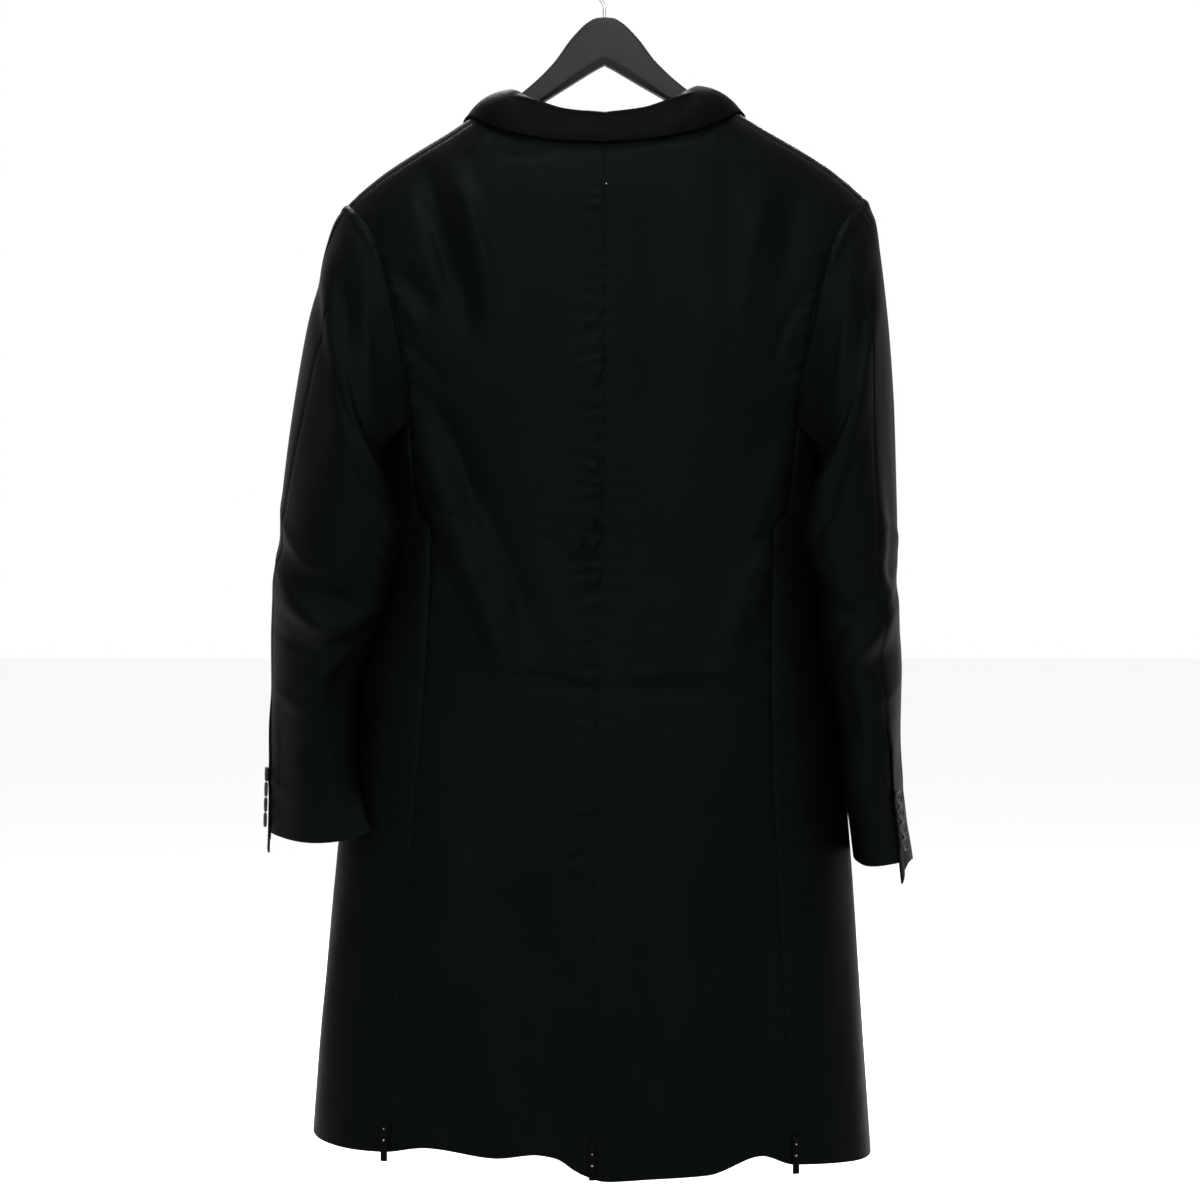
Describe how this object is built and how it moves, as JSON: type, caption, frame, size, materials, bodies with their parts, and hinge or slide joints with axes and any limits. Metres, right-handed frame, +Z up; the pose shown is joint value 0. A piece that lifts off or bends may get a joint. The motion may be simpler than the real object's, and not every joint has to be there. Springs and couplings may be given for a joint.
{
  "type": "chesterfield coat on a hanger",
  "caption": "Long straight black coat with turned-down collar and peaked lapels, hanging buttoned and empty from a plastic hanger with a wire hook.",
  "frame": {"origin": "inside top of the hook's crook, where it rests on a rail", "axes": "+Z up, -Y towards the front of the coat, +X towards the wearer's left; the rail runs along Y"},
  "size_m": [0.6192, 0.2194, 1.1613],
  "materials": {
    "coat_cloth": "fine worsted weave with a faint satin sheen",
    "hem_tape": "dull woven tape",
    "button": "glossy, faintly marbled",
    "hanger_plastic": "smooth satin moulding",
    "hook_wire": "bright plated wire"
  },
  "bodies": {
    "root": {"back_left": "coat_cloth", "back_right": "coat_cloth", "side_left": "coat_cloth", "side_right": "coat_cloth", "front_left": "coat_cloth", "front_right": "coat_cloth", "lapel_left": "coat_cloth", "lapel_right": "coat_cloth", "collar": "coat_cloth", "sleeve_top_left": "coat_cloth", "sleeve_under_left": "coat_cloth", "sleeve_top_right": "coat_cloth", "sleeve_under_right": "coat_cloth", "cuff_button_left_1": "button", "cuff_button_left_2": "button", "cuff_button_left_3": "button", "cuff_button_left_4": "button", "cuff_button_right_1": "button", "cuff_button_right_2": "button", "cuff_button_right_3": "button", "cuff_button_right_4": "button", "front_button_1": "button", "front_button_2": "button", "front_button_3": "button", "hem_tab_left": "hem_tape", "hem_tab_centre": "hem_tape", "hem_tab_right": "hem_tape", "hanger": "hanger_plastic", "hook": "hook_wire"}
  },
  "joints": []
}
